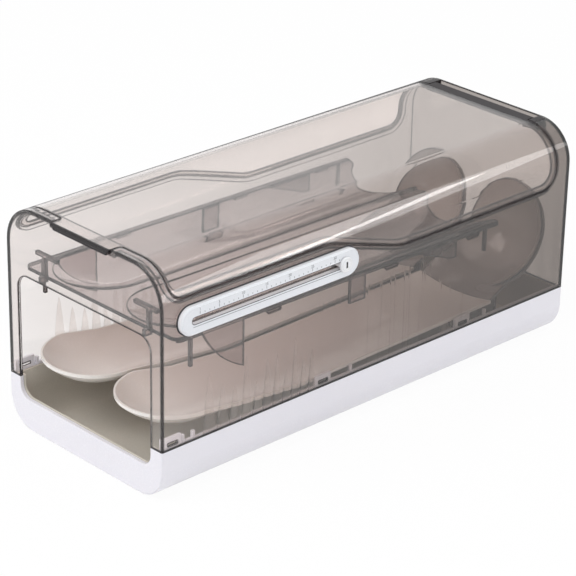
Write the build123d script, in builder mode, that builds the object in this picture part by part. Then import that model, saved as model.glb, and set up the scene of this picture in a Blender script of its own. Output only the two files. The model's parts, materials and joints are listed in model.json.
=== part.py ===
from build123d import *
import math
import os

# Two-tier rolling egg dispenser
# Eggs go in under the hinged lid, roll to the rear on the upper tray, drop round the
# curved guides and come forward in the lower tracks to the open front.
# Millimetres. +Z up, front faces -Y, origin in the middle of the underside.

# Overall sizes
case_width = 140.0
case_length = 344.0
case_height = 145.5
seam_height = 33.5
shoulder_radius = 25.0
keel_radius = 20.5
edge_round = 1.2

# Walls
housing_wall = 2.0
lid_wall = 2.0
base_side_wall = 4.0
base_end_wall = 2.4
base_floor = 2.5
liner_wall = 1.5
tray_wall = 2.2
track_wall = 2.0
guide_wall = 2.0

# Clearances
lid_gap = 0.6
skin_gap = 0.3
liner_gap = 0.2
seat_gap = 0.1
slide_gap = 0.3
pin_gap = 0.08
overcut = 1.0

# Lid outline
lid_tab_width = 52.0
lid_front_setback = 8.0
lid_front_drop = 19.2
lid_rear_drop = 37.7
lid_step_start = 130.0
lid_step_end = 190.0
lid_step_radius = 40.0
lid_front_corner = 8.0
lid_rear_corner = 12.0
lid_rear_setback = 13.5
lid_lip_depth = 1.0
lid_lip_height = 4.0
lid_lip_corner = 0.6
lid_tab_corner = 3.0
lid_arm_corner = 2.0
ledge_width = 3.0
ledge_thickness = 1.7

# Lid hinge
barrel_radius = 4.0
barrel_length = 86.0
barrel_inset = 7.7
barrel_sink = 0.3
hinge_pin_radius = 1.9
hinge_pin_length = 4.4
knuckle_width = 5.0
knuckle_gap = 0.5
knuckle_root = 1.0

# Front opening
outlet_width = 120.0
outlet_drop = 43.7
outlet_sill = 20.5
outlet_top_corner = 9.0
outlet_sill_corner = 8.0

# Snap joint between base and housing
tongue_thickness = 1.7
tongue_height = 1.6
snap_width = 13.0
snap_height = 7.5
snap_slot_width = 8.0
snap_slot_height = 2.6
snap_slot_lift = 1.9
snap_gap = 0.3
snap_from_front = (9.0, 128.0)
snap_from_rear = (94.0,)
peg_from_front = (17.5, 25.5, 152.0)
peg_from_rear = (72.5,)
peg_height = 5.5
peg_width = 2.0
peg_depth = 0.5

# Egg lanes
lane_gap = 8.0
lane_side_room = 6.0
lane_rim = 1.2

# Upper tray
tray_side_gap = 0.5
tray_setback = 12.0
tray_rear_room = 65.0
tray_headroom = 44.2
tray_drop = 3.3
tray_corner = 5.0
tray_bowl_depth = 6.0
tray_bowl_place = 34.4
tray_flange = 3.2
tray_flange_wall = 1.6
rest_from_front = (87.0,)
rest_from_rear = (160.0, 88.0)
tray_rest_length = 10.0
tray_rest_depth = 2.0
tray_rest_height = 1.5
scallop_radius = 30.0
scallop_depth = 15.0

# Fins, legs and hooks of the upper tray
fin_wall = 2.0
fin_inset = 1.2
front_fin_start = 32.0
front_fin_length = 33.0
front_fin_depth = 34.3
front_fin_belly = (20.0, 26.8)
rear_fin_end = 101.0
rear_fin_length = 41.0
rear_fin_depth = 17.7
rear_fin_toe = 5.0
leg_depth = 21.5
leg_from_front = (24.5,)
leg_from_rear = (74.5,)
web_from_front = (150.5, 163.5)
hook_place = 47.0
hook_wall = 2.4
hook_root = 1.0
hook_rise = 14.0
hook_drop = 4.0
hook_arm = 20.0
hook_toe = 3.0

# Lower tracks
track_bowl_place = 37.0
track_bowl_flare = 1.6
track_front_lift = 1.0
track_rear_lift = 5.0
track_bowl_depth = 13.5
track_channel_depth = 3.5
track_blend_places = (64.0, 112.0)
track_blend_depths = (8.5, 3.5)
rib_width = 28.0
rib_from_front = (98.0, 172.0)
rib_from_rear = (92.0,)

# Turn guides
guide_radius = 42.0
guide_start = 40.0
guide_rise = 1.0
guide_lead = 17.7
guide_rear_gap = 1.0
guide_rib_places = (-6.0, 6.0)

# Date scale
scale_setback = 11.5
scale_past_step = 21.5
scale_drop = 34.0
scale_height = 18.0
scale_thickness = 3.4
scale_slot_height = 4.8
scale_slot_margin = 8.0
scale_edge = 0.8
knob_radius = 4.8
knob_thickness = 1.6
knob_edge = 0.4
stem_length = 8.0
clip_length = 12.0
clip_height = 9.0
clip_corner = 1.5
clip_thickness = 1.4

# Worked-out places
case_front = -case_length / 2
case_rear = case_length / 2
half_width = case_width / 2
hinge_y = case_rear - barrel_inset
hinge_z = case_height - barrel_sink - barrel_radius
lid_main_front = case_front + lid_front_setback
lid_main_rear = case_rear - lid_rear_setback
lid_arm_rear = case_rear - housing_wall - lid_gap
lid_underside = case_height - lid_wall
liner_floor = base_floor + liner_gap + liner_wall
lid_step_front = case_front + lid_step_start
lid_step_rear = case_front + lid_step_end
outlet_top = case_height - outlet_drop
lane_half = (half_width - lane_side_room - lane_gap / 2) / 2
lane_offset = lane_gap / 2 + lane_half
lanes = {"left": -lane_offset, "right": lane_offset}
tray_width = case_width - 2 * (housing_wall + tray_side_gap)
tray_front = case_front + tray_setback
tray_rear = case_rear - tray_rear_room
tray_front_height = case_height - tray_headroom
tray_rear_height = tray_front_height - tray_drop
scale_front = case_front + scale_setback
scale_length = lid_step_front + scale_past_step - scale_front
scale_middle = case_height - scale_drop
guide_y = case_rear - housing_wall - guide_rear_gap - guide_wall - guide_radius
track_front_low = seam_height + track_front_lift
track_rear_low = seam_height + track_rear_lift
guide_z = track_rear_low + guide_radius
guide_axis = Axis((0, guide_y, guide_z), (1, 0, 0))
guide_top = tray_rear_height + guide_rise
track_bowl_centre = case_front + track_bowl_place
track_rear = guide_y - guide_lead - skin_gap


def along(from_front, from_rear):
    """Places along the case, given as distances from its front and from its rear."""
    return [case_front + place for place in from_front] + [case_rear - place for place in from_rear]


def case_block(inset, y_front, y_rear, z_low):
    """Form of the case drawn in by inset: a rectangle with round shoulders, run front to rear."""
    top = case_height - inset
    with BuildPart() as block:
        with BuildSketch(Plane.XZ.offset(-y_rear)) as section:
            with Locations((0, (z_low + top) / 2)):
                Rectangle(case_width - 2 * inset, top - z_low)
            fillet(section.vertices().group_by(Axis.Y)[-1], shoulder_radius - inset)
        extrude(amount=y_rear - y_front)
    return block.part


def keel_block(inset, end_inset, z_low, z_top):
    """Form of the base drawn in by inset: a rectangle with round lower edges, run front to rear."""
    with BuildPart() as block:
        with BuildSketch(Plane.XZ.offset(case_front + end_inset)) as section:
            with Locations((0, (z_low + z_top) / 2)):
                Rectangle(case_width - 2 * inset, z_top - z_low)
            fillet(section.vertices().group_by(Axis.Y)[0], keel_radius - inset)
        extrude(amount=case_length - 2 * end_inset)
    return block.part


def outlet_block(inset, y_front, y_rear):
    """Prism of the front opening: round upper corners in the housing, round lower ones in the base."""
    half = outlet_width / 2 - inset
    corners = (outlet_sill_corner, outlet_sill_corner, outlet_top_corner, outlet_top_corner)
    with BuildPart() as block:
        with BuildSketch(Plane.XZ.offset(-y_rear)):
            with BuildLine():
                FilletPolyline(
                    (-half, outlet_sill + inset), (half, outlet_sill + inset),
                    (half, outlet_top - inset), (-half, outlet_top - inset),
                    radius=[corner - inset for corner in corners], close=True)
            make_face()
        extrude(amount=y_rear - y_front)
    return block.part


def lid_zone(grow):
    """Everything over the lid's outline, its side view crossed with its plan, grown by a clearance."""
    sky = 2 * case_height
    tab_half = lid_tab_width / 2
    arm_half = barrel_length / 2
    past_front = case_front - 2 * lid_front_setback
    front_low = case_height - lid_front_drop
    rear_low = case_height - lid_rear_drop
    with BuildPart() as zone:
        with BuildSketch(Plane.YZ.offset(-case_width)):
            with BuildLine():
                FilletPolyline(
                    (past_front, sky), (past_front, lid_underside), (lid_main_front, lid_underside),
                    (lid_main_front, front_low), (lid_step_front, front_low), (lid_step_rear, rear_low),
                    (lid_main_rear, rear_low), (lid_main_rear, lid_underside), (lid_arm_rear, lid_underside),
                    (lid_arm_rear, sky),
                    radius=[0, 0, 0, lid_front_corner, lid_step_radius, lid_step_radius,
                            lid_rear_corner, 0, 0, 0],
                    close=True)
            make_face()
            if grow:
                offset(amount=grow, kind=Kind.INTERSECTION)
        extrude(amount=2 * case_width)
        with BuildSketch(Plane.XY):
            with BuildLine():
                FilletPolyline(
                    (-tab_half, past_front), (tab_half, past_front), (tab_half, lid_main_front),
                    (case_width, lid_main_front), (case_width, lid_main_rear), (arm_half, lid_main_rear),
                    (arm_half, lid_arm_rear), (-arm_half, lid_arm_rear), (-arm_half, lid_main_rear),
                    (-case_width, lid_main_rear), (-case_width, lid_main_front), (-tab_half, lid_main_front),
                    radius=[0, 0, lid_tab_corner, 0, 0, lid_arm_corner,
                            0, 0, lid_arm_corner, 0, 0, lid_tab_corner],
                    close=True)
            make_face()
            if grow:
                offset(amount=grow, kind=Kind.INTERSECTION)
        extrude(amount=sky, mode=Mode.INTERSECT)
    return zone.part


def tray_height(y):
    """Height of the upper tray's top face, which falls steadily from front to rear."""
    return tray_front_height - tray_drop * (y - tray_front) / (tray_rear - tray_front)


def deck_middle(y):
    """Height of the middle of the upper tray's deck."""
    return tray_height(y) - tray_wall / 2


def track_low(y):
    """Height of the lower track's floor, which falls steadily from rear to front."""
    share = (y - track_bowl_centre) / (track_rear - track_bowl_centre)
    return track_front_low + share * (track_rear_low - track_front_low)


def channel_section(lane, rim, sink, side, station):
    """Section of a channel: an arc under a flat top, between straight sides of height side, if any.

    The station is (y, half width, floor height, depth). The arc is widened by rim and sunk by sink.
    """
    y, half, low, depth = station
    left = lane - half - rim
    right = lane + half + rim
    top = low + depth
    with BuildSketch(Plane.XZ.offset(-y)) as section:
        with BuildLine():
            ThreePointArc((left, top - side), (lane, low - sink), (right, top - side))
            Line((right, top), (left, top))
            if side:
                Line((right, top - side), (right, top))
                Line((left, top), (left, top - side))
        make_face()
    return section.sketch


def channel(lane, rim, sink, side, stations):
    """Spoon and channel that an egg rolls in, with half of the first section turned into a round end."""
    with BuildPart() as form:
        for station in stations:
            add(channel_section(lane, rim, sink, side, station))
        loft(ruled=True)
        # Half of the first section, whose arc has the same radius
        y, half, low, depth = stations[0]
        reach = half + rim
        right = lane + reach
        top = low + depth
        bottom = low - sink
        rise = top - side - bottom
        arc_radius = (reach ** 2 + rise ** 2) / (2 * rise)
        half_turn = math.asin(reach / arc_radius) / 2
        middle = (lane + arc_radius * math.sin(half_turn), bottom + arc_radius * (1 - math.cos(half_turn)))
        with BuildSketch(Plane.XZ.offset(-y)):
            with BuildLine():
                ThreePointArc((lane, bottom), middle, (right, top - side))
                Line((right, top), (lane, top))
                Line((lane, top), (lane, bottom))
                if side:
                    Line((right, top - side), (right, top))
            make_face()
        revolve(axis=Axis((lane, y, 0), (0, 0, -1)), revolution_arc=180)
    return form.part


def tray_trough(lane, wall):
    """Trough of the upper tray, grown by a wall: a round bar along its slope with a ball in front."""
    start = tray_front + tray_bowl_place
    slope = Vector(0, tray_rear - start, tray_height(tray_rear) - tray_height(start))
    radius = (lane_half ** 2 + tray_bowl_depth ** 2) / (2 * tray_bowl_depth)
    centre = (lane, start, tray_height(start) - tray_bowl_depth + radius)
    with BuildPart() as trough:
        with BuildSketch(Plane(origin=centre, x_dir=(1, 0, 0), z_dir=slope.normalized())):
            Circle(radius + wall)
        extrude(amount=slope.length + radius)
        with Locations(centre):
            Sphere(radius + wall)
    return trough.part


def gutter_section(angle, forward, lane, inner_sag, outer_sag):
    """Section of a guide's gutter, taken through the guides' axis at an angle above the rear.

    Two arcs a wall apart, crowned on the lane, with their sags, moved forward of the axis.
    """
    turn = math.radians(angle)
    left = lane - lane_half
    right = lane + lane_half
    inner = guide_radius - inner_sag
    outer = guide_radius + guide_wall - outer_sag
    plane = Plane(
        origin=(0, guide_y - forward, guide_z), x_dir=(1, 0, 0), z_dir=(0, math.sin(turn), -math.cos(turn)))
    with BuildSketch(plane) as section:
        with BuildLine():
            ThreePointArc((left, -inner), (lane, -guide_radius), (right, -inner))
            Line((right, -inner), (right, -outer))
            ThreePointArc((right, -outer), (lane, -guide_radius - guide_wall), (left, -outer))
            Line((left, -outer), (left, -inner))
        make_face()
    return section.sketch


lid_pocket = lid_zone(lid_gap)
lid_form = lid_zone(0)
ledge_outer = lid_zone(ledge_width)
ledge_inner = lid_zone(-ledge_width)
housing_form = case_block(0, case_front, case_rear, seam_height)
under_lid = case_block(lid_wall + skin_gap, case_front, case_rear, seam_height - overcut)

# Housing: smoky clear case, open below, with a front opening and a rebated top opening
with BuildPart() as housing:
    add(housing_form)
    end_edges = housing.faces().sort_by(Axis.Y)[0].edges() + housing.faces().sort_by(Axis.Y)[-1].edges()
    fillet([edge for edge in end_edges if edge.center().Z > seam_height + overcut], edge_round)
    inner = case_block(
        housing_wall, case_front + housing_wall, case_rear - housing_wall, seam_height - overcut)
    add(inner, mode=Mode.SUBTRACT)
    # Ledge that carries the lid, one wall further in all round its outline
    ledge = ledge_outer - ledge_inner
    ledge = ledge & case_block(
        housing_wall - seat_gap, case_front + housing_wall, case_rear - housing_wall, seam_height)
    ledge = ledge - case_block(
        lid_wall + skin_gap + ledge_thickness, case_front, case_rear, seam_height - overcut)
    add(ledge)
    add(lid_pocket - under_lid, mode=Mode.SUBTRACT)
    add(outlet_block(0, case_front - overcut, case_front + housing_wall + overcut), mode=Mode.SUBTRACT)
    # Notch for the lid's barrel, with a knuckle at each end
    notch_low = hinge_z - barrel_radius - knuckle_gap
    notch_half = barrel_length / 2 + knuckle_gap
    notch_front = lid_main_rear - lid_gap
    notch_rear = case_rear - housing_wall
    with BuildSketch(Plane.XY.offset(notch_low)):
        with Locations((0, (notch_front + notch_rear) / 2)):
            Rectangle(2 * notch_half, notch_rear - notch_front)
    extrude(amount=case_height, mode=Mode.SUBTRACT)
    for side in (-1, 1):
        with BuildSketch(Plane.YZ.offset(side * (notch_half + knuckle_width / 2))):
            with Locations((hinge_y, hinge_z)):
                Circle(barrel_radius)
            with Locations(((hinge_y + case_rear - knuckle_root) / 2, hinge_z)):
                Rectangle(case_rear - knuckle_root - hinge_y, 2 * barrel_radius)
        extrude(amount=knuckle_width / 2, both=True)
        with BuildSketch(Plane.YZ.offset(side * (notch_half + knuckle_width / 2))):
            with Locations((hinge_y, hinge_z)):
                Circle(hinge_pin_radius + pin_gap)
        extrude(amount=knuckle_width, both=True, mode=Mode.SUBTRACT)
    # Catches that spring into the slots of the base's tabs
    catch_low = seam_height + snap_slot_lift + snap_gap
    catch_height = snap_slot_height - 2 * snap_gap
    catch_width = snap_slot_width - 2 * snap_gap
    catch_depth = tongue_thickness + snap_gap
    for side in (-1, 1):
        for y in along(snap_from_front, snap_from_rear):
            with BuildSketch(Plane.XY.offset(catch_low)):
                with Locations((side * (half_width - housing_wall - (catch_depth - seat_gap) / 2), y)):
                    Rectangle(catch_depth + seat_gap, catch_width)
            extrude(amount=catch_height)
    # Rests for the upper tray's flanges
    for side in (-1, 1):
        for y in along(rest_from_front, rest_from_rear):
            rest_top = tray_height(y + tray_rest_length / 2) - tray_flange - seat_gap
            wall_face = side * (half_width - housing_wall + seat_gap)
            with BuildSketch(Plane.XZ.offset(-y)):
                with Locations((wall_face - side * tray_rest_depth / 2, rest_top - tray_rest_height / 2)):
                    Rectangle(tray_rest_depth, tray_rest_height)
            extrude(amount=tray_rest_length / 2, both=True)
    # Slot that the date slider's stem runs in
    slot_length = scale_length - 2 * scale_slot_margin
    slot_middle = scale_front + scale_length / 2
    with BuildSketch(Plane.YZ.offset(half_width)):
        with Locations((slot_middle, scale_middle)):
            SlotOverall(slot_length, scale_slot_height)
    extrude(amount=housing_wall + overcut, both=True, mode=Mode.SUBTRACT)
housing.part.label = "housing"

# Lid: one smoky shell with a front tab, side flaps and the hinge barrel
with BuildPart() as lid:
    add(case_block(0, case_front - lid_lip_depth - skin_gap, hinge_y, seam_height))
    lid_core = case_block(
        lid_wall, case_front - lid_lip_depth - overcut, hinge_y + overcut, seam_height - overcut)
    add(lid_core, mode=Mode.SUBTRACT)
    add(lid_form, mode=Mode.INTERSECT)
    # Outside the arms the rear edge is hollowed about the hinge so that it swings past the case
    sweep_radius = math.hypot(hinge_y - lid_main_rear - lid_gap, case_height - hinge_z) + skin_gap
    for side in (-1, 1):
        start = side * barrel_length / 2
        with BuildSketch(Plane.YZ.offset(start)):
            with Locations((hinge_y, hinge_z)):
                Circle(sweep_radius)
        extrude(amount=side * half_width, mode=Mode.SUBTRACT)
    # Lip in front of the tab, to lift the lid by
    with BuildSketch(Plane.XZ.offset(-case_front + skin_gap)):
        with Locations((0, case_height - lid_lip_height / 2)):
            RectangleRounded(lid_tab_width - lid_lip_height, lid_lip_height, lid_lip_corner)
    extrude(amount=lid_lip_depth)
    # Barrel and its two moulded pins
    with BuildSketch(Plane.YZ):
        with Locations((hinge_y, hinge_z)):
            Circle(barrel_radius)
    extrude(amount=barrel_length / 2, both=True)
    with BuildSketch(Plane.YZ):
        with Locations((hinge_y, hinge_z)):
            Circle(hinge_pin_radius)
    extrude(amount=barrel_length / 2 + hinge_pin_length, both=True)
lid.part.label = "lid"

# Base: white tub with round lower edges, a lowered sill in front and snap tabs along the sides
with BuildPart() as base_tray:
    add(keel_block(0, 0, 0, seam_height))
    end_edges = base_tray.faces().sort_by(Axis.Y)[0].edges() + base_tray.faces().sort_by(Axis.Y)[-1].edges()
    fillet([edge for edge in end_edges if edge.center().Z < seam_height - overcut], edge_round)
    add(keel_block(base_side_wall, base_end_wall, base_floor, seam_height + keel_radius),
        mode=Mode.SUBTRACT)
    tongue_outer = half_width - housing_wall - snap_gap
    tongue_middle = tongue_outer - tongue_thickness / 2
    snap_places = along(snap_from_front, snap_from_rear)
    peg_places = along(peg_from_front, peg_from_rear)
    for side in (-1, 1):
        with BuildSketch(Plane.XY.offset(seam_height)):
            with Locations((side * tongue_middle, 0)):
                Rectangle(tongue_thickness, case_length - 2 * (housing_wall + snap_gap))
        extrude(amount=tongue_height)
        with BuildSketch(Plane.XY.offset(seam_height)):
            with Locations([(side * tongue_middle, y) for y in snap_places]):
                Rectangle(tongue_thickness, snap_width)
        extrude(amount=snap_height)
        with BuildSketch(Plane.XY.offset(seam_height)):
            with Locations([(side * (tongue_middle - peg_depth), y) for y in peg_places]):
                Rectangle(tongue_thickness, peg_width)
        extrude(amount=peg_height)
        with BuildSketch(Plane.YZ.offset(side * tongue_middle)):
            with Locations([(y, seam_height + snap_slot_lift + snap_slot_height / 2) for y in snap_places]):
                Rectangle(snap_slot_width, snap_slot_height)
        extrude(amount=tongue_thickness, both=True, mode=Mode.SUBTRACT)
    add(outlet_block(0, case_front - overcut, case_front + base_end_wall + overcut), mode=Mode.SUBTRACT)
base_tray.part.label = "base_tray"

# Liner: grey inner tub that drops into the base
with BuildPart() as liner:
    liner_side = base_side_wall + liner_gap
    liner_end = base_end_wall + liner_gap
    add(keel_block(liner_side, liner_end, base_floor + liner_gap, seam_height))
    add(keel_block(liner_side + liner_wall, liner_end + liner_wall, liner_floor, seam_height + keel_radius),
        mode=Mode.SUBTRACT)
    add(outlet_block(0, case_front, case_front + liner_end + liner_wall + overcut), mode=Mode.SUBTRACT)
liner.part.label = "liner"

# Upper tray: sloping deck with two round-ended channels, side flanges and hanging fins
deck_side = [(tray_front, tray_height(tray_front)), (tray_rear, tray_height(tray_rear))]
with BuildPart() as under_deck:
    with BuildSketch(Plane.YZ.offset(-tray_width / 2)):
        with BuildLine():
            Polyline(deck_side[0], deck_side[1], (tray_rear, 0), (tray_front, 0), close=True)
        make_face()
    extrude(amount=tray_width)
with BuildPart() as upper_tray:
    with BuildSketch(Plane.YZ.offset(-tray_width / 2)):
        with BuildLine():
            Polyline(
                deck_side[0], deck_side[1],
                (deck_side[1][0], deck_side[1][1] - tray_wall),
                (deck_side[0][0], deck_side[0][1] - tray_wall), close=True)
        make_face()
    extrude(amount=tray_width)
    for side in (-1, 1):
        with BuildSketch(Plane.YZ.offset(side * (tray_width / 2 - tray_flange_wall / 2))):
            with BuildLine():
                Polyline(
                    deck_side[0], deck_side[1],
                    (deck_side[1][0], deck_side[1][1] - tray_flange),
                    (deck_side[0][0], deck_side[0][1] - tray_flange), close=True)
            make_face()
        extrude(amount=tray_flange_wall / 2, both=True)
    for lane in lanes.values():
        add(tray_trough(lane, tray_wall) & under_deck.part)
    for lane in lanes.values():
        add(tray_trough(lane, 0), mode=Mode.SUBTRACT)
    # Plan outline: round front corners, and a scallop at the rear of each lane
    with BuildSketch(Plane.XY):
        with Locations((0, (tray_front + tray_rear) / 2)):
            outline = Rectangle(tray_width, tray_rear - tray_front)
        fillet(outline.vertices().group_by(Axis.Y)[0], tray_corner)
        with Locations([(lane, tray_rear + scallop_radius - scallop_depth) for lane in lanes.values()]):
            Circle(scallop_radius, mode=Mode.SUBTRACT)
    extrude(amount=case_height, mode=Mode.INTERSECT)
    # Fins and legs that hang inside each side wall
    hangers = [(leg - fin_wall / 2, leg + fin_wall / 2) for leg in along(leg_from_front, leg_from_rear)]
    hangers.append([case_front + place for place in web_from_front])
    for side in (-1, 1):
        fin_x = side * (tray_width / 2 - fin_inset - fin_wall / 2)
        with BuildSketch(Plane.YZ.offset(fin_x)):
            start = case_front + front_fin_start
            end = start + front_fin_length
            toe = tray_front_height - front_fin_depth
            belly = (start + front_fin_belly[0], tray_front_height - front_fin_belly[1])
            with BuildLine():
                Line((start, deck_middle(start)), (end, deck_middle(end)))
                Line((end, deck_middle(end)), (end, toe))
                ThreePointArc((end, toe), belly, (start, deck_middle(start)))
            make_face()
            end = case_rear - rear_fin_end
            start = end - rear_fin_length
            toe = tray_front_height - rear_fin_depth
            with BuildLine():
                Polyline(
                    (start, deck_middle(start)), (end, deck_middle(end)), (end, toe),
                    (end - rear_fin_toe, toe), close=True)
            make_face()
            toe = tray_front_height - leg_depth
            for start, end in hangers:
                with BuildLine():
                    Polyline(
                        (start, deck_middle(start)), (end, deck_middle(end)), (end, toe), (start, toe),
                        close=True)
                make_face()
        extrude(amount=fin_wall / 2, both=True)
    # Hooks that rise in front of the deck behind the housing's front wall
    hook_back = -tray_front - hook_root
    for side in (-1, 1):
        with BuildSketch(Plane.XZ.offset(hook_back)):
            with Locations((side * hook_place, tray_front_height + (hook_rise - hook_drop) / 2)):
                Rectangle(hook_wall, hook_rise + hook_drop)
            with Locations((side * (hook_place - hook_wall), tray_front_height + hook_rise - hook_wall / 2)):
                Rectangle(hook_arm, hook_wall)
        extrude(amount=hook_wall)
        with BuildSketch(Plane.XZ.offset(hook_back + hook_wall)):
            with Locations((side * hook_place, tray_front_height - hook_drop / 2)):
                Rectangle(hook_wall, hook_drop)
        extrude(amount=hook_toe)
upper_tray.part.label = "upper_tray"

# Lower tracks: one per lane, a raised spoon in front that fades into a shallow channel
track_stations = [(track_bowl_centre, lane_half + track_bowl_flare, track_front_low, track_bowl_depth)]
for place, depth in zip(track_blend_places, track_blend_depths):
    track_stations.append((case_front + place, lane_half, track_low(case_front + place), depth))
track_stations.append((track_rear, lane_half, track_rear_low, track_channel_depth))
tracks = {}
for name, lane in lanes.items():
    with BuildPart() as track:
        add(channel(lane, lane_rim, track_wall, track_wall, track_stations))
        for y in along(rib_from_front, rib_from_rear):
            with BuildSketch(Plane.XY.offset(liner_floor + seat_gap)):
                with Locations((lane, y)):
                    Rectangle(rib_width, track_wall)
            extrude(amount=track_low(y) - liner_floor)
        add(channel(lane, 0, 0, 0, track_stations), mode=Mode.SUBTRACT)
    track.part.label = "track_" + name
    tracks[name] = track

# Turn guides: gutters with round sections centred on an axis across the case, and arched tops
gutter_sags = [
    radius - math.sqrt(radius ** 2 - lane_half ** 2) for radius in (guide_radius, guide_radius + guide_wall)]
guides = {}
for name, lane in lanes.items():
    with BuildPart() as guide:
        # Cross ribs under the gutter, standing on the liner
        with BuildSketch(Plane.XY.offset(liner_floor + seat_gap)):
            with Locations([(lane, guide_y + place) for place in guide_rib_places]):
                Rectangle(rib_width, guide_wall)
        extrude(amount=guide_z - guide_radius - guide_wall / 2 - liner_floor - seat_gap)
        add(gutter_section(guide_start, 0, lane, *gutter_sags))
        revolve(axis=guide_axis, revolution_arc=-(guide_start + 90))
        # Lead that flattens the gutter to the depth of the track's channel
        add(gutter_section(-90, 0, lane, *gutter_sags))
        add(gutter_section(-90, guide_lead, lane, track_channel_depth, track_channel_depth))
        loft(ruled=True)
        # Arched top, as wide as the lane
        with BuildSketch(Plane.XZ):
            with Locations((lane, guide_top)):
                Rectangle(4 * lane_half, 2 * lane_half)
            with Locations((lane, guide_top - lane_half)):
                Circle(lane_half, mode=Mode.SUBTRACT)
        extrude(amount=-case_length, mode=Mode.SUBTRACT)
    guide.part.label = "guide_" + name
    guides[name] = guide

# Date scale: slotted bezel on the right side wall
with BuildPart() as date_scale:
    with BuildSketch(Plane.YZ.offset(half_width)):
        with Locations((slot_middle, scale_middle)):
            SlotOverall(scale_length, scale_height)
    extrude(amount=scale_thickness)
    chamfer(date_scale.faces().sort_by(Axis.X)[-1].edges(), scale_edge)
    with BuildSketch(Plane.YZ.offset(half_width)):
        with Locations((slot_middle, scale_middle)):
            SlotOverall(slot_length, scale_slot_height)
    extrude(amount=scale_thickness + overcut, mode=Mode.SUBTRACT)
date_scale.part.label = "date_scale"

# Date slider: knob and stem, held from inside by a clip
stem_height = scale_slot_height - 2 * slide_gap
knob_y = scale_front + scale_length - scale_slot_margin - slide_gap - stem_length / 2
knob_face = half_width + scale_thickness + slide_gap
stem_inner = half_width - housing_wall - slide_gap - clip_thickness
with BuildPart() as date_slider:
    with BuildSketch(Plane.YZ.offset(knob_face)):
        with Locations((knob_y, scale_middle)):
            Circle(knob_radius)
    extrude(amount=knob_thickness)
    chamfer(date_slider.faces().sort_by(Axis.X)[-1].edges(), knob_edge)
    with BuildSketch(Plane.YZ.offset(stem_inner)):
        with Locations((knob_y, scale_middle)):
            SlotOverall(stem_length, stem_height)
    extrude(amount=knob_face - stem_inner)
date_slider.part.label = "date_slider"

# Clip pressed over the stem's inner end
with BuildPart() as slider_clip:
    with BuildSketch(Plane.YZ.offset(stem_inner)):
        with Locations((knob_y, scale_middle)):
            RectangleRounded(clip_length, clip_height, clip_corner)
            SlotOverall(stem_length, stem_height, mode=Mode.SUBTRACT)
    extrude(amount=clip_thickness)
slider_clip.part.label = "slider_clip"

pieces = [housing, lid, base_tray, liner, upper_tray, date_scale, date_slider, slider_clip]
pieces += list(tracks.values())
pieces += list(guides.values())
os.makedirs("parts", exist_ok=True)
for piece in pieces:
    export_step(piece.part, "parts/" + piece.part.label + ".step")
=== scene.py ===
import json

import bpy
import numpy as np
from mathutils import Matrix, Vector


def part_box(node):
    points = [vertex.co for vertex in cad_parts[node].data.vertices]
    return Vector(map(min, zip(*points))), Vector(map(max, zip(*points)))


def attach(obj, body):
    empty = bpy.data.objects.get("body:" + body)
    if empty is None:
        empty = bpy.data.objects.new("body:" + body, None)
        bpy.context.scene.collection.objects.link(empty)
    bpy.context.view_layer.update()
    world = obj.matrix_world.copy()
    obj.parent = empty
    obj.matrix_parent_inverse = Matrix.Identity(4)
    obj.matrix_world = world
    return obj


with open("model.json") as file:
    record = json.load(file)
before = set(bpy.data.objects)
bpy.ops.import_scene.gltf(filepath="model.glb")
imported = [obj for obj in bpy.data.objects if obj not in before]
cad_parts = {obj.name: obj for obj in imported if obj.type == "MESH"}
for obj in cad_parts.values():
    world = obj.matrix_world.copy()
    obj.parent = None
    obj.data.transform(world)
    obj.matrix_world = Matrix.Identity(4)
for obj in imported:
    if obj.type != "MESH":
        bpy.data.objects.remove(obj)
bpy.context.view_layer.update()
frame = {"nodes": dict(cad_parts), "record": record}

MM = 0.001

# Camera, fitted to the edges of the box
VIEW_AZIMUTH = 46.164
VIEW_ELEVATION = 24.834
VIEW_ROLL = 1.125
VIEW_DISTANCE = 1561.637 * MM
VIEW_AIM_HEIGHT = 70.0 * MM
VIEW_SLIDE = (-6.232 * MM, -8.701 * MM)
LENS_MM = 157.0
SENSOR_MM = 36.0

# Smoky plastic: in a metre its smoke absorbs the density times one minus the colour
SMOKE_COLOR = (0.42, 0.38, 0.385)
CASE_SMOKE = 64.0
TRAY_SMOKE = 190.0
GUIDE_SMOKE = 150.0
CLEAR_IOR = 1.49
WAVE_SCALE = 18.0
WAVE_STRENGTH = 0.03
WAVE_DEPTH = 1.0 * MM

# Painted shade on smoky plastic: dark lines at sharp edges, and where it turns away from the eye, sooner at
# the rear
SHADE_LINE_COLOR = (0.024, 0.02, 0.022)
EDGE_RADIUS = 1.45 * MM
EDGE_TURN = (0.997, 0.965)
RIM_FACING = (0.82, 0.95)
RIM_SOONER = 0.10
RIM_COVER = 0.97
THICK_COVER = 0.92

# Solid plastic
GRAIN_SCALE = 1800.0
GRAIN_DEPTH = 0.05 * MM
STAIN_SHADE = 0.93
MARK_COLOR = (0.012, 0.012, 0.015)
GROOVE_WIDTH = 0.45 * MM
GROOVE_DEPTH = 0.25 * MM

# Places on the object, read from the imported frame
HOUSING_LOW, HOUSING_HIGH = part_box("housing")
SCALE_LOW, SCALE_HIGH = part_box("date_scale")
SLIDER_LOW, SLIDER_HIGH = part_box("date_slider")
BASE_LOW, BASE_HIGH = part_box("base_tray")
CASE_FRONT = BASE_LOW.y
CASE_REAR = BASE_HIGH.y
CASE_TOP = HOUSING_HIGH.z
CASE_SIDE = BASE_HIGH.x
SEAM = HOUSING_LOW.z
WALL = 2.0 * MM
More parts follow.
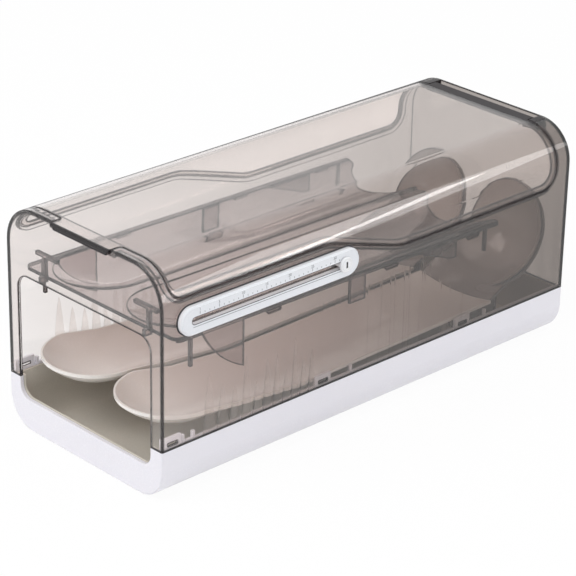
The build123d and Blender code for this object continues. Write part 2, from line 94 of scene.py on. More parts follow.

# Thick places: lowest y, highest y, lowest z, nearest and farthest from the middle, share lost; their
# darkening is partly their own smoke and partly painted shade
HINGE_KNUCKLES = (
    CASE_REAR - 13.0 * MM, CASE_REAR - 2.5 * MM, CASE_TOP - 9.0 * MM, 42.5 * MM, 49.5 * MM, 0.75)
HINGE_BARREL = (CASE_REAR - 16.0 * MM, CASE_REAR, CASE_TOP - 9.0 * MM, -1.0, 50.0 * MM, 0.95)
TAB_LIP = (CASE_FRONT - 5.0 * MM, CASE_FRONT - 0.2 * MM, 0.0, -1.0, 1.0, 0.6)

# Relief inside the housing's walls: streaks on the sides and waves on the rear wall, and a band of painted
# shade along the seam
STREAKS_ALONG = 420.0
STREAKS_UP = 9.0
STREAK_NOISE = (0.55, 0.75)
STREAKS_START = (90.0 * MM, 190.0 * MM)
STREAKS_END = (300.0 * MM, 230.0 * MM)
STREAKS_TOP = (SEAM + 70.0 * MM, SEAM + 35.0 * MM)
STREAK_HEIGHT = 0.3
WAVE_PITCH = 12.0 * MM
WAVES_TOP = (SEAM + 75.0 * MM, SEAM + 25.0 * MM)
RELIEF_STRENGTH = 0.7
RELIEF_DEPTH = 0.4 * MM
RELIEF_LOSS = 0.2
# Painted shade: a dark band along the seam at the foot of the housing
SEAM_SHADE_BAND = (SEAM + 1.0 * MM, SEAM + 0.6 * MM)
SEAM_SHADE_LOSS = 0.85

# Flutes inside the side walls
FLUTES_PER_METRE = 68.6
FLUTES_CLOSE_UP = 350.0
FLUTE_NUMBERS = np.arange(3, 14)
FLUTE_FILL = 0.47
FLUTE_START = 0.4 * MM
FLUTE_HEIGHT = 30.0 * MM
FLUTE_SWING = 10.0 * MM
FLUTE_TIP = 0.03
FLUTE_BORDER = 0.05 * MM
FLUTE_BULGE = 0.4 * MM
FLUTE_GAP = 0.05 * MM

# Date scale
SLOT_HEIGHT = 4.8 * MM
SLOT_MARGIN = 8.0 * MM
SCALE_FACE = SCALE_HIGH.x
SCALE_MIDDLE = (SCALE_LOW.z + SCALE_HIGH.z) / 2
SCALE_CENTRE = (SCALE_LOW.y + SCALE_HIGH.y) / 2
SLOT_TOP = SCALE_MIDDLE + SLOT_HEIGHT / 2
SUNK = 0.02 * MM
PRINT_RISE = 0.03 * MM
DAYS = 31
NUMBERED_DAYS = (1, 5, 10, 15, 20, 25, 30)
NUMBER_SIZE = 2.5 * MM
NUMBER_RISE = 0.025 * MM
KNOB_RADIUS = (SLIDER_HIGH.z - SLIDER_LOW.z) / 2
KNOB_PLACE = (SLIDER_HIGH.y - KNOB_RADIUS, (SLIDER_LOW.z + SLIDER_HIGH.z) / 2)
KNOB_MARK = (KNOB_PLACE, (0.7 * MM, 2.0 * MM), KNOB_RADIUS - 1.4 * MM)

# Floor and world
FLOOR_HALF = 4.0
FLOOR_COLOR = (0.86, 0.86, 0.87, 1.0)
FLOOR_WHITE = 0.95
WORLD_LIGHT = 0.72
WHITE = (1.0, 1.0, 1.0, 1.0)


# ---------- shader helpers ----------

def new_material(name):
    """An empty node material and its tree."""
    material = bpy.data.materials.new(name)
    material.use_nodes = True
    material.node_tree.nodes.clear()
    return material, material.node_tree


def add_node(tree, kind, **settings):
    """A node of a kind, with its properties and, by socket name, its plain inputs."""
    node = tree.nodes.new(kind)
    for key, value in settings.items():
        if hasattr(node, key):
            setattr(node, key, value)
        else:
            node.inputs[key.replace("_", " ")].default_value = value
    return node


def new_group(name, inputs, outputs):
    """A node group with its named inputs, their default values and its outputs, and its two ends."""
    group = bpy.data.node_groups.new(name, "ShaderNodeTree")
    for label, kind, value in inputs:
        socket = group.interface.new_socket(label, in_out="INPUT", socket_type=kind)
        if value is not None:
            socket.default_value = value
    for label, kind in outputs:
        group.interface.new_socket(label, in_out="OUTPUT", socket_type=kind)
    enter = group.nodes.new("NodeGroupInput")
    leave = group.nodes.new("NodeGroupOutput")
    return group, enter.outputs, leave.inputs


def place_group(tree, group, **inputs):
    """Puts a node group into a tree, with values by input name."""
    node = tree.nodes.new("ShaderNodeGroup")
    node.node_tree = group
    for key, value in inputs.items():
        node.inputs[key].default_value = value
    return node


def calc(tree, operation, *values):
    """Output of a math node whose inputs are sockets or plain numbers."""
    node = add_node(tree, "ShaderNodeMath", operation=operation)
    for entry, value in zip(node.inputs, values):
        if isinstance(value, (int, float)):
            entry.default_value = value
        else:
            tree.links.new(value, entry)
    return node.outputs[0]


def product(tree, first, *others):
    """Product of a socket with other sockets or plain numbers."""
    for value in others:
        first = calc(tree, "MULTIPLY", first, value)
    return first


def map_range(tree, value, start, end, low=0.0, high=1.0, kind="LINEAR"):
    """A socket mapped so that start becomes low and end becomes high, with no more beyond them."""
    node = add_node(tree, "ShaderNodeMapRange", interpolation_type=kind)
    for label, number in (("From Min", start), ("From Max", end), ("To Min", low), ("To Max", high)):
        node.inputs[label].default_value = number
    tree.links.new(value, node.inputs["Value"])
    return node.outputs["Result"]


def ramp(tree, value, start, end):
    """Smooth step of a socket, from 0 at start to 1 at end."""
    return map_range(tree, value, start, end, kind="SMOOTHSTEP")


def blend(tree, factor, first, second, kind="MIX"):
    """Colour mix by a socket, of colour sockets or plain colours."""
    node = add_node(tree, "ShaderNodeMix", data_type="RGBA", blend_type=kind)
    tree.links.new(factor, node.inputs["Factor"])
    for entry, color in ((node.inputs["A"], first), (node.inputs["B"], second)):
        if isinstance(color, tuple):
            entry.default_value = (*color, 1.0)
        else:
            tree.links.new(color, entry)
    return node.outputs["Result"]


def bump(tree, height, strength, distance, normal=None):
    """Normal that a height socket tilts, from the surface's own normal or from another one."""
    node = add_node(tree, "ShaderNodeBump", Strength=strength, Distance=distance)
    tree.links.new(height, node.inputs["Height"])
    if normal:
        tree.links.new(normal, node.inputs["Normal"])
    return node.outputs["Normal"]


def build_moulding_ripple():
    """Height of the long faint waves and the fine flow lines that moulding leaves in plastic."""
    group, enter, leave = new_group(
        "moulding_ripple",
        [("Vector", "NodeSocketVector", None), ("Wave Scale", "NodeSocketFloat", WAVE_SCALE),
         ("Flow Share", "NodeSocketFloat", 0.25)],
        [("Height", "NodeSocketFloat")])
    link = group.links.new
    waves = add_node(group, "ShaderNodeTexNoise", Detail=1.5, Roughness=0.4)
    stretch = add_node(group, "ShaderNodeMapping")
    stretch.inputs["Scale"].default_value = (6.0, 0.35, 6.0)
    flow = add_node(group, "ShaderNodeTexNoise", Scale=22.0, Detail=2.0)
    link(enter["Vector"], waves.inputs["Vector"])
    link(enter["Wave Scale"], waves.inputs["Scale"])
    link(enter["Vector"], stretch.inputs["Vector"])
    link(stretch.outputs["Vector"], flow.inputs["Vector"])
    share = product(group, flow.outputs["Fac"], enter["Flow Share"])
    link(calc(group, "ADD", waves.outputs["Fac"], share), leave["Height"])
    return group


def build_fine_grain():
    """Fine spark-eroded grain: a height, a mask of lighter flecks and a slow stain mask."""
    group, enter, leave = new_group(
        "fine_grain",
        [("Vector", "NodeSocketVector", None), ("Grain Scale", "NodeSocketFloat", GRAIN_SCALE)],
        [("Height", "NodeSocketFloat"), ("Flecks", "NodeSocketFloat"), ("Stain", "NodeSocketFloat")])
    link = group.links.new
    grain = add_node(group, "ShaderNodeTexNoise", Detail=2.0, Roughness=0.6)
    stain = add_node(group, "ShaderNodeTexNoise", Scale=9.0, Detail=3.0, Roughness=0.55)
    link(enter["Vector"], grain.inputs["Vector"])
    link(enter["Grain Scale"], grain.inputs["Scale"])
    link(enter["Vector"], stain.inputs["Vector"])
    link(grain.outputs["Fac"], leave["Height"])
    link(map_range(group, grain.outputs["Fac"], 0.52, 0.72), leave["Flecks"])
    link(stain.outputs["Fac"], leave["Stain"])
    return group


MOULDING_RIPPLE = build_moulding_ripple()
FINE_GRAIN = build_fine_grain()


def sharp_edges(tree, radius):
    """Mask of the places within a radius of a sharp edge, where a rounded normal would turn away."""
    rounded = add_node(tree, "ShaderNodeBevel", samples=6, Radius=radius)
    place = add_node(tree, "ShaderNodeNewGeometry")
    turn = add_node(tree, "ShaderNodeVectorMath", operation="DOT_PRODUCT")
    tree.links.new(rounded.outputs["Normal"], turn.inputs[0])
    tree.links.new(place.outputs["Normal"], turn.inputs[1])
    return ramp(tree, calc(tree, "ABSOLUTE", turn.outputs["Value"]), *EDGE_TURN)


def wall_relief(tree, x, y, z):
    """Mask of the faint relief inside the housing's walls, from sockets of the place on it in metres.

    The sides have upright streaks of stretched noise, and the rear wall has upright sine waves.
    """
    from_front = calc(tree, "SUBTRACT", y, CASE_FRONT)
    beside = calc(tree, "ABSOLUTE", x)
    stretched = add_node(tree, "ShaderNodeCombineXYZ")
    tree.links.new(product(tree, y, STREAKS_ALONG), stretched.inputs["Y"])
    tree.links.new(product(tree, z, STREAKS_UP), stretched.inputs["Z"])
    noise = add_node(tree, "ShaderNodeTexNoise", Scale=1.0, Detail=2.0)
    tree.links.new(stretched.outputs["Vector"], noise.inputs["Vector"])
    streaks = product(
        tree, ramp(tree, noise.outputs["Fac"], *STREAK_NOISE), ramp(tree, from_front, *STREAKS_START),
        ramp(tree, from_front, *STREAKS_END), ramp(tree, z, *STREAKS_TOP), STREAK_HEIGHT,
        calc(tree, "LESS_THAN", beside, CASE_SIDE - WALL / 2),
        calc(tree, "GREATER_THAN", beside, CASE_SIDE - 2 * WALL))
    turns = calc(tree, "SINE", product(tree, x, 2 * np.pi / WAVE_PITCH))
    waves = product(
        tree, calc(tree, "MULTIPLY_ADD", turns, 0.5, 0.5), ramp(tree, z, *WAVES_TOP),
        calc(tree, "GREATER_THAN", y, CASE_REAR - 2 * WALL),
        calc(tree, "LESS_THAN", y, CASE_REAR - WALL / 2))
    return calc(tree, "ADD", streaks, waves)


def smoky_plastic(
        name, smoke, tint_front, tint_rear_with_shade, relief=False, cloud=0.0, edge=0.97, sheen=0.35, thick=()):
    """Clear plastic whose smoke is in its depth, so that thick parts go dark.

    The surface is faintly coloured, from a front colour to a rear one along the case, and the rear colour
    is darker as painted shade; rays from lamps pass straight through. Clouded plastic also scatters light.
    A share edge of the light is lost along sharp edges, where a dark line of painted shade covers the
    plastic, and another such line covers it where the surface turns away from the eye. Thick places lose a
    share of their own and are covered too, partly for their own smoke and partly as painted shade.
    """
    material, tree = new_material(name)
    link = tree.links.new
    place = add_node(tree, "ShaderNodeTexCoord").outputs["Object"]
    split = add_node(tree, "ShaderNodeSeparateXYZ")
    link(place, split.inputs["Vector"])
    x, y, z = [split.outputs[axis] for axis in "XYZ"]
    # Painted shade: the surface colour goes darker from the front of the case to its rear
    along = map_range(tree, y, CASE_FRONT, CASE_REAR)
    tint_and_shade = blend(tree, along, tint_front, tint_rear_with_shade)
    ripple = place_group(tree, MOULDING_RIPPLE, **{"Wave Scale": WAVE_SCALE})
    link(place, ripple.inputs["Vector"])
    normal = bump(tree, ripple.outputs["Height"], WAVE_STRENGTH, WAVE_DEPTH)

    # Darker places: mask, share of the light lost, share covered by the dark colour; sharp edges and the seam
    # band are painted shade, the relief is darker in colour, and thick places are partly their own smoke and
    # partly painted shade
    darker = []
    # Dark line of painted shade along sharp edges
    if edge:
        darker.append((sharp_edges(tree, EDGE_RADIUS), edge, edge))
    if relief:
        raised = wall_relief(tree, x, y, z)
        normal = bump(tree, raised, RELIEF_STRENGTH, RELIEF_DEPTH, normal)
        # The relief is darkened a little, and the band along the seam is painted shade
        darker += [(raised, RELIEF_LOSS, 0.0), (ramp(tree, z, *SEAM_SHADE_BAND), SEAM_SHADE_LOSS, 0.0)]
    # Thick places darken, partly for their own smoke and partly as painted shade
    for front, rear, low, near, far, share in thick:
        beside = calc(tree, "ABSOLUTE", x)
        within = product(
            tree, calc(tree, "GREATER_THAN", y, front), calc(tree, "LESS_THAN", y, rear),
            calc(tree, "GREATER_THAN", z, low), calc(tree, "GREATER_THAN", beside, near),
            calc(tree, "LESS_THAN", beside, far))
        darker.append((within, share, THICK_COVER * share))
    # Painted shade: a dark cover where the surface turns away from the eye, sooner towards the rear
    turned = add_node(tree, "ShaderNodeLayerWeight", Blend=0.5)
    away = calc(tree, "MULTIPLY_ADD", along, RIM_SOONER, turned.outputs["Facing"])
    covered = product(tree, ramp(tree, away, *RIM_FACING), RIM_COVER)
    for mask, share, cover in darker:
        tint_and_shade = blend(tree, mask, tint_and_shade, (1 - share, 1 - share, 1 - share), "MULTIPLY")
        if cover:
            covered = calc(tree, "MAXIMUM", covered, product(tree, mask, cover))

    clear = add_node(tree, "ShaderNodeBsdfPrincipled", IOR=CLEAR_IOR)
    clear.inputs["Transmission Weight"].default_value = 1.0 - cloud
    clear.inputs["Coat Weight"].default_value = sheen
    clear.inputs["Coat Roughness"].default_value = 0.22
    clear.inputs["Coat IOR"].default_value = 1.4
    gloss = calc(tree, "MULTIPLY_ADD", ramp(tree, ripple.outputs["Height"], 0.2, 0.9), 0.02, 0.006)
    link(tint_and_shade, clear.inputs["Base Color"])
    link(gloss, clear.inputs["Roughness"])
    link(normal, clear.inputs["Normal"])
    # Dark rough shader laid over the plastic as painted shade
    dark = add_node(tree, "ShaderNodeBsdfPrincipled", Roughness=0.5)
    dark.inputs["Specular IOR Level"].default_value = 0.15
    dark.inputs["Base Color"].default_value = (*SHADE_LINE_COLOR, 1.0)
    lined = add_node(tree, "ShaderNodeMixShader")
    link(covered, lined.inputs["Fac"])
    link(clear.outputs["BSDF"], lined.inputs[1])
    link(dark.outputs["BSDF"], lined.inputs[2])
    passing = add_node(tree, "ShaderNodeBsdfTransparent")
    link(tint_and_shade, passing.inputs["Color"])
    rays = add_node(tree, "ShaderNodeLightPath").outputs
    mix = add_node(tree, "ShaderNodeMixShader")
    link(calc(tree, "MAXIMUM", rays["Is Shadow Ray"], rays["Is Diffuse Ray"]), mix.inputs["Fac"])
    link(lined.outputs["Shader"], mix.inputs[1])
    link(passing.outputs["BSDF"], mix.inputs[2])
    depth = add_node(tree, "ShaderNodeVolumeAbsorption", Density=smoke)
    depth.inputs["Color"].default_value = (*SMOKE_COLOR, 1.0)
    out = add_node(tree, "ShaderNodeOutputMaterial")
    link(mix.outputs["Shader"], out.inputs["Surface"])
    link(depth.outputs["Volume"], out.inputs["Volume"])
    return material


def solid_plastic(name, color, fleck_color, roughness, grain_strength, coat=0.0, glow=0.0, mark=None):
    """Opaque plastic with fine grain, lighter flecks, slow staining and an uneven gloss.

    A mark, (centre, half sizes, ring radius) in Y and Z, is a dark upright stroke in a grooved ring.
    """
    material, tree = new_material(name)
    link = tree.links.new
    place = add_node(tree, "ShaderNodeTexCoord").outputs["Object"]
    grain = place_group(tree, FINE_GRAIN, **{"Grain Scale": GRAIN_SCALE})
    link(place, grain.inputs["Vector"])
    stain = grain.outputs["Stain"]
    colored = blend(tree, stain, color, tuple(STAIN_SHADE * c for c in color))
    colored = blend(tree, grain.outputs["Flecks"], colored, fleck_color)
    normal = bump(tree, grain.outputs["Height"], grain_strength, GRAIN_DEPTH)
    if mark:
        (mark_y, mark_z), (half_y, half_z), ring = mark
        split = add_node(tree, "ShaderNodeSeparateXYZ")
        link(place, split.inputs["Vector"])
        off_y = calc(tree, "ABSOLUTE", calc(tree, "SUBTRACT", split.outputs["Y"], mark_y))
        off_z = calc(tree, "ABSOLUTE", calc(tree, "SUBTRACT", split.outputs["Z"], mark_z))
        stroke = product(
            tree, calc(tree, "LESS_THAN", off_y, half_y), calc(tree, "LESS_THAN", off_z, half_z))
        colored = blend(tree, stroke, colored, MARK_COLOR)
        squares = calc(tree, "ADD", product(tree, off_y, off_y), product(tree, off_z, off_z))
        from_ring = calc(tree, "ABSOLUTE", calc(tree, "SUBTRACT", calc(tree, "SQRT", squares), ring))
        normal = bump(tree, ramp(tree, from_ring, 0.0, GROOVE_WIDTH), 1.0, GROOVE_DEPTH, normal)
    body = add_node(tree, "ShaderNodeBsdfPrincipled", IOR=1.46)
    body.inputs["Coat Weight"].default_value = coat
    body.inputs["Coat Roughness"].default_value = 0.08
    body.inputs["Subsurface Weight"].default_value = glow
    body.inputs["Subsurface Radius"].default_value = (2.0 * MM, 1.8 * MM, 1.6 * MM)
    body.inputs["Subsurface Scale"].default_value = 1.0
    gloss = map_range(tree, stain, 0.3, 0.7, 0.85 * roughness, 1.15 * roughness)
    link(colored, body.inputs["Base Color"])
    link(gloss, body.inputs["Roughness"])
    link(normal, body.inputs["Normal"])
    out = add_node(tree, "ShaderNodeOutputMaterial")
    link(body.outputs["BSDF"], out.inputs["Surface"])
    return material


MATERIALS = {
    "smoky_housing": smoky_plastic(
        "smoky_housing", CASE_SMOKE, (1.0, 0.97, 0.955), (0.49, 0.45, 0.425), relief=True,
        thick=[HINGE_KNUCKLES]),
    "smoky_lid": smoky_plastic(
        "smoky_lid", CASE_SMOKE, (1.0, 0.96, 0.94), (0.95, 0.885, 0.85), thick=[TAB_LIP, HINGE_BARREL]),
    "smoky_flute": smoky_plastic(
        "smoky_flute", CASE_SMOKE, (0.95, 0.925, 0.91), (0.80, 0.76, 0.74), edge=0.0, sheen=0.1),
    "smoky_tray": smoky_plastic(
        "smoky_tray", TRAY_SMOKE, (0.88, 0.80, 0.79), (0.56, 0.50, 0.485), sheen=0.15),
    "smoky_guide": smoky_plastic(
        "smoky_guide", GUIDE_SMOKE, (0.50, 0.43, 0.40), (0.46, 0.39, 0.355), cloud=0.45, edge=0.5, sheen=0.0),
    "white_base": solid_plastic(
        "white_base", (0.79, 0.78, 0.83), (0.84, 0.83, 0.87), 0.34, 0.10, coat=0.15, glow=0.15),
    # Grey for the inside of the base, darker and warmer than its white outside
    "grey_liner": solid_plastic(
        "grey_liner", (0.66, 0.62, 0.55), (0.71, 0.67, 0.60), 0.58, 0.25),
    "pale_track": solid_plastic(
        "pale_track", (0.79, 0.76, 0.725), (0.84, 0.815, 0.785), 0.22, 0.06, coat=0.5, glow=0.25),
    "scale_bezel": solid_plastic(
        "scale_bezel", (0.76, 0.78, 0.82), (0.82, 0.83, 0.87), 0.16, 0.05, coat=0.8),
    "scale_mark": solid_plastic(
        "scale_mark", (0.10, 0.11, 0.125), (0.16, 0.17, 0.19), 0.4, 0.1),
    # Near-black for the outlines round the date scale and its slot, painted shade
    "painted_outline_shade": solid_plastic(
        "painted_outline_shade", (0.022, 0.022, 0.026), (0.05, 0.05, 0.055), 0.3, 0.1),
    "slider_knob": solid_plastic(
        "slider_knob", (0.84, 0.85, 0.87), (0.88, 0.88, 0.90), 0.2, 0.05, coat=0.6, glow=0.1,
        mark=KNOB_MARK),
    "slider_clip": solid_plastic(
        "slider_clip", (0.74, 0.74, 0.75), (0.80, 0.80, 0.80), 0.4, 0.1),
}


def dress_nodes():
    """Gives every CAD node the material of its slot."""
    slots = {part["node"]: part["material_slot"] for part in frame["record"]["subparts"]}
    for name, node in frame["nodes"].items():
        node.data.materials.clear()
        node.data.materials.append(MATERIALS[slots[name]])


dress_nodes()


# ---------- pieces on the date scale ----------

def add_piece(name, points, faces, material):
    """A mesh piece from lists of points and faces, riding on the root body."""
    mesh = bpy.data.meshes.new(name)
    mesh.from_pydata(points, [], faces)
    mesh.materials.append(MATERIALS[material])
    piece = bpy.data.objects.new(name, mesh)
    bpy.context.scene.collection.objects.link(piece)
    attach(piece, "root")
    return piece


def ring_path(straight, radius, steps=24):
    """Outline of a slot of a radius with straight sides, as points and outward directions in Y and Z."""
    turn = np.linspace(-np.pi / 2, np.pi / 2, steps)
    turns = np.concatenate([turn, turn + np.pi])
    out = np.stack([np.cos(turns), np.sin(turns)], axis=1)
    shift = np.where(np.arange(2 * steps) < steps, straight / 2, -straight / 2)
    points = out * radius
    points[:, 0] += shift
    return points, out


def ring_bead(name, straight, radius, width, base, rise, material, lobes=12):
    """A half-round bead round a slot's outline on the scale, a width across, rising from a base in X.

    Its section is half an ellipse closed by a flat back, swept along the outline.
    """
    path, out = ring_path(straight, radius)
    angle = np.linspace(0.0, np.pi, lobes)
    across = width / 2 * np.cos(angle)
    places = path[:, None, :] + out[:, None, :] * across[None, :, None]
    x = np.broadcast_to((base + rise * np.sin(angle))[None, :], places.shape[:2])
    points = np.stack([x, places[..., 0] + SCALE_CENTRE, places[..., 1] + SCALE_MIDDLE], axis=-1)
    rings = len(path)
    i, j = np.meshgrid(np.arange(rings), np.arange(lobes), indexing="ij")
    i_next = (i + 1) % rings
    j_next = (j + 1) % lobes
    faces = np.stack(
        [i * lobes + j, i_next * lobes + j, i_next * lobes + j_next, i * lobes + j_next], axis=-1)
    piece = add_piece(
        name, points.reshape(-1, 3).tolist(), faces.reshape(-1, 4).tolist(), material)
    piece.data.shade_smooth()


def box_row(name, lows, highs):
    """Small closed boxes printed on the scale, between arrays of lowest and highest corners in Y and Z."""
    lows = np.column_stack([np.full(len(lows), SCALE_FACE - SUNK), lows])
    highs = np.column_stack([np.full(len(highs), SCALE_FACE + PRINT_RISE), highs])
    pick = np.array([[a, b, c] for a in (0, 1) for b in (0, 1) for c in (0, 1)])
    points = np.where(pick[None], highs[:, None], lows[:, None]).reshape(-1, 3)
    quads = np.array([[0, 1, 3, 2], [4, 6, 7, 5], [0, 4, 5, 1], [2, 3, 7, 6], [0, 2, 6, 4], [1, 5, 7, 3]])
    faces = (quads[None] + 8 * np.arange(len(lows))[:, None, None]).reshape(-1, 4)
    add_piece(name, points.tolist(), faces.tolist(), "scale_mark")


def day_places(first_gap=6.0 * MM, last_gap=9.0 * MM):
    """Places of the days along the slot, from its front end to the slider at rest."""
    start = SCALE_LOW.y + SLOT_MARGIN + first_gap
    end = SCALE_HIGH.y - SLOT_MARGIN - last_gap
    return np.linspace(start, end, DAYS)


def make_day_ticks(gap=0.9 * MM, half=0.15 * MM, short=1.1 * MM, long=1.9 * MM):
    """A tick for each day over the slot, with the first one and every fifth one longer."""
    y = day_places()
    days = np.arange(1, DAYS + 1)
    low = np.full(DAYS, SLOT_TOP + gap)
    high = low + np.where((days % 5 == 0) | (days == 1), long, short)
    box_row("day_ticks", np.column_stack([y - half, low]), np.column_stack([y + half, high]))


def make_day_numbers(gap=3.1 * MM):
    """Numbers over the long ticks, read from the right side of the case."""
    points = []
    faces = []
    for day in NUMBERED_DAYS:
        text = bpy.data.curves.new("day_text", "FONT")
        text.body = str(day)
        text.size = NUMBER_SIZE
        text.extrude = NUMBER_RISE
        text.align_x = "CENTER"
        holder = bpy.data.objects.new("day_text", text)
        bpy.context.scene.collection.objects.link(holder)
        mesh = bpy.data.meshes.new_from_object(holder.evaluated_get(bpy.context.evaluated_depsgraph_get()))
        flat = np.empty(3 * len(mesh.vertices))
        mesh.vertices.foreach_get("co", flat)
        corners = np.empty(len(mesh.loops), np.int32)
        mesh.loops.foreach_get("vertex_index", corners)
        starts = np.empty(len(mesh.polygons), np.int32)
        mesh.polygons.foreach_get("loop_start", starts)
        right, up, out = flat.reshape(-1, 3).T
        faces += [face.tolist() for face in np.split(corners + len(points), starts[1:])]
        points += np.column_stack(
            [out + SCALE_FACE, right + day_places()[day - 1], up + SLOT_TOP + gap]).tolist()
        bpy.data.objects.remove(holder)
        bpy.data.curves.remove(text)
        bpy.data.meshes.remove(mesh)
    add_piece("day_numbers", points, faces, "scale_mark")


def dress_scale():
    """Beads, dark outlines of painted shade, rail line, ticks and numbers of the date scale."""
    height = SCALE_HIGH.z - SCALE_LOW.z
    length = SCALE_HIGH.y - SCALE_LOW.y
    straight = length - height
    slot_straight = length - 2 * SLOT_MARGIN - SLOT_HEIGHT
    face = SCALE_FACE - SUNK
    ring_bead("scale_rim", straight, height / 2 - 1.25 * MM, 0.8 * MM, face, 0.25 * MM, "scale_bezel")
    ring_bead(
        "slot_rim", slot_straight, SLOT_HEIGHT / 2 + 0.4 * MM, 0.7 * MM, face, 0.14 * MM, "scale_bezel")
    # Dark outlines round the scale and its slot: painted shade for the seam round the scale and the dark
    # reflections in its glossy sides
    ring_bead(
        "scale_outline_shade", straight, height / 2 + 0.3 * MM, 0.9 * MM, CASE_SIDE - 0.01 * MM, 0.6 * MM,
        "painted_outline_shade")
    ring_bead(
        "slot_outline_shade", slot_straight, SLOT_HEIGHT / 2, 0.5 * MM, SCALE_FACE - 0.1 * MM, 0.2 * MM,
        "painted_outline_shade")
    rail = SCALE_MIDDLE - SLOT_HEIGHT / 2 - 1.5 * MM
    margin = 9.0 * MM
    box_row("rail_line", [(SCALE_LOW.y + margin, rail)], [(SCALE_HIGH.y - margin, rail + 0.3 * MM)])
    make_day_ticks()
    make_day_numbers()


dress_scale()


# ---------- flutes inside the side walls ----------

def make_flutes(name, side, across=9, up=12):
    """Pointed flutes on the inner face of a side wall, closer together towards the middle of the case.

    Flute k stands where 68.6 y + 350 y squared is k, with y in metres from the front, and the sine of
    2.4 k makes it higher or lower. Its outline narrows upwards with the power 0.7 of the height still
    to go, and its face bulges as a parabola across that gets flatter upwards. A flat back and a thin
    border close it.
    """
    k = FLUTE_NUMBERS
    root = np.sqrt(FLUTES_PER_METRE ** 2 + 4 * FLUTES_CLOSE_UP * k)
    from_front = (root - FLUTES_PER_METRE) / (2 * FLUTES_CLOSE_UP)
    half = FLUTE_FILL / (FLUTES_PER_METRE + 2 * FLUTES_CLOSE_UP * from_front)
    height = FLUTE_HEIGHT + FLUTE_SWING * np.sin(2.4 * k)
    u = np.linspace(-1.0, 1.0, across)
    v = np.linspace(0.0, 1.0, up)
    left = 1.0 - v
    wide = FLUTE_TIP + (1.0 - FLUTE_TIP) * left ** 0.7
    y = CASE_FRONT + from_front[:, None, None] + half[:, None, None] * wide[None, :, None] * u[None, None, :]
    z = np.broadcast_to((SEAM + FLUTE_START + height[:, None] * v[None, :])[:, :, None], y.shape)
    bulge = np.broadcast_to(
        (FLUTE_BORDER + FLUTE_BULGE * left[:, None] * (1.0 - u[None, :] ** 2))[None], y.shape)
    wall = CASE_SIDE - WALL - FLUTE_GAP
    front = np.stack([side * (wall - bulge), y, z], axis=-1)
    back = np.stack([np.full(y.shape, side * wall), y, z], axis=-1)
    points = np.stack([front, back], axis=1).reshape(-1, 3)

    # Faces of one flute: its front, its back the other way round, and the border between them
    i, j = np.meshgrid(np.arange(up - 1), np.arange(across - 1), indexing="ij")
    corner = (i * across + j).reshape(-1)
    cells = np.column_stack([corner, corner + 1, corner + across + 1, corner + across])
    layer = up * across
    rim = np.concatenate([
        np.arange(across), np.arange(1, up) * across + across - 1,
        (up - 1) * across + np.arange(across - 2, -1, -1), np.arange(up - 2, 0, -1) * across])
    rim_next = np.roll(rim, -1)
    border = np.column_stack([rim_next, rim, rim + layer, rim_next + layer])
    one = np.concatenate([cells, cells[:, ::-1] + layer, border])
    if side > 0:
        one = one[:, ::-1]
    faces = (one[None] + 2 * layer * np.arange(len(k))[:, None, None]).reshape(-1, 4)
    add_piece(name, points.tolist(), faces.tolist(), "smoky_flute")


make_flutes("flutes_right", 1.0)
make_flutes("flutes_left", -1.0)


# ---------- floor, light and camera ----------

def seen_rays(tree):
    """Mask of the rays that see the background: from the camera, by reflection or through plastic."""
    rays = add_node(tree, "ShaderNodeLightPath").outputs
    seen = calc(tree, "MAXIMUM", rays["Is Camera Ray"], rays["Is Glossy Ray"])
    return calc(tree, "MAXIMUM", seen, rays["Is Transmission Ray"])


def make_floor():
    """A wide pale floor that shows white where it isn't shaded."""
    half = FLOOR_HALF
    corners = [(-half, -half, 0), (half, -half, 0), (half, half, 0), (-half, half, 0)]
    mesh = bpy.data.meshes.new("floor")
    mesh.from_pydata(corners, [], [(0, 1, 2, 3)])
    floor = bpy.data.objects.new("floor", mesh)
    bpy.context.scene.collection.objects.link(floor)
    material, tree = new_material("pale_floor")
    link = tree.links.new
    matt = add_node(tree, "ShaderNodeBsdfDiffuse")
    matt.inputs["Color"].default_value = FLOOR_COLOR
    white = add_node(tree, "ShaderNodeEmission", Strength=1.0)
    mix = add_node(tree, "ShaderNodeMixShader")
    out = add_node(tree, "ShaderNodeOutputMaterial")
    link(product(tree, seen_rays(tree), FLOOR_WHITE), mix.inputs["Fac"])
    link(matt.outputs["BSDF"], mix.inputs[1])
    link(white.outputs["Emission"], mix.inputs[2])
    link(mix.outputs["Shader"], out.inputs["Surface"])
    floor.data.materials.append(material)


def make_world():
    """White where it is seen, in the open, by reflection or through the plastic, and softer as a light."""
    world = bpy.data.worlds.new("studio")
    bpy.context.scene.world = world
    world.use_nodes = True
    tree = world.node_tree
    tree.nodes.clear()
    link = tree.links.new
    soft = add_node(tree, "ShaderNodeBackground", Strength=WORLD_LIGHT)
    white = add_node(tree, "ShaderNodeBackground", Strength=1.0)
    mix = add_node(tree, "ShaderNodeMixShader")
    out = add_node(tree, "ShaderNodeOutputWorld")
    link(seen_rays(tree), mix.inputs["Fac"])
    for entry, background in ((1, soft), (2, white)):
        background.inputs["Color"].default_value = WHITE
        link(background.outputs["Background"], mix.inputs[entry])
    link(mix.outputs["Shader"], out.inputs["Surface"])


def aim(place, target, roll=0.0):
    """Matrix of an object at a place that looks along its -Z at a target, rolled by degrees."""
    back = np.array(place, float) - np.array(target, float)
    back /= np.linalg.norm(back)
    right = np.cross((0.0, 0.0, 1.0), back)
    right /= np.linalg.norm(right)
    up = np.cross(back, right)
    c, s = np.cos(np.radians(roll)), np.sin(np.radians(roll))
    turn = np.eye(4)
    turn[:3, :3] = np.stack([c * right + s * up, c * up - s * right, back], axis=1)
    turn[:3, 3] = place
    return Matrix(turn.tolist())


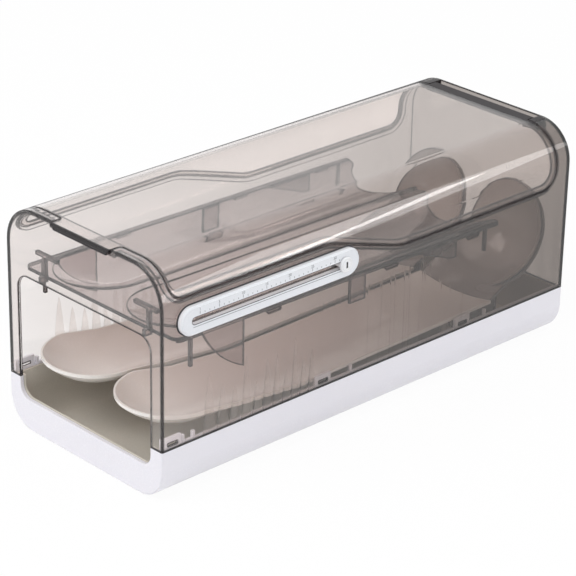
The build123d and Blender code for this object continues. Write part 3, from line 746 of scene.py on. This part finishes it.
def make_softbox(name, place, target, size, power, roll=0.0):
    """A rectangular lamp of a size in metres, aimed at a target and rolled by degrees."""
    data = bpy.data.lights.new(name, "AREA")
    data.shape = "RECTANGLE"
    data.size, data.size_y = size
    data.energy = power
    lamp = bpy.data.objects.new(name, data)
    bpy.context.scene.collection.objects.link(lamp)
    lamp.matrix_world = aim(place, target, roll)


def make_camera():
    """The camera at the photograph's viewing angle."""
    azimuth, elevation, roll = np.radians([VIEW_AZIMUTH, VIEW_ELEVATION, VIEW_ROLL])
    back = np.array([
        np.sin(azimuth) * np.cos(elevation), -np.cos(azimuth) * np.cos(elevation), np.sin(elevation)])
    level = np.array([np.cos(azimuth), np.sin(azimuth), 0.0])
    upright = np.cross(back, level)
    right = np.cos(roll) * level + np.sin(roll) * upright
    up = -np.sin(roll) * level + np.cos(roll) * upright
    place = np.array([0.0, 0.0, VIEW_AIM_HEIGHT]) + back * VIEW_DISTANCE
    place += right * VIEW_SLIDE[0] + up * VIEW_SLIDE[1]
    data = bpy.data.cameras.new("camera")
    data.lens = LENS_MM
    data.sensor_width = SENSOR_MM
    data.clip_start = 0.05
    camera = bpy.data.objects.new("camera", data)
    bpy.context.scene.collection.objects.link(camera)
    turn = np.eye(4)
    turn[:3, :3] = np.stack([right, up, back], axis=1)
    turn[:3, 3] = place
    camera.matrix_world = Matrix(turn.tolist())
    bpy.context.scene.camera = camera


make_floor()
make_world()
make_softbox("key_light", (-0.5, -1.3, 1.5), (0, 0, 0.06), (1.0, 1.0), 13.2)
make_softbox("front_fill", (0.2, -1.6, 0.30), (0, 0, 0.05), (1.2, 0.3), 1.3)
make_softbox("top_light", (0.5, -0.2, 2.0), (0, 0, 0.06), (1.2, 1.2), 8.0)
make_softbox("side_strip", (1.05, 0.83, 0.30), (0.06, 0.0, 0.12), (0.75, 0.06), 0.8, roll=55.0)
make_softbox("side_glow", (1.15, 0.9, 0.42), (0.06, 0.0, 0.12), (0.9, 0.45), 3.0, roll=55.0)
make_camera()

scene = bpy.context.scene
scene.view_settings.view_transform = "Standard"
scene.cycles.max_bounces = 24
scene.cycles.transmission_bounces = 24
scene.cycles.glossy_bounces = 8
scene.cycles.transparent_max_bounces = 48
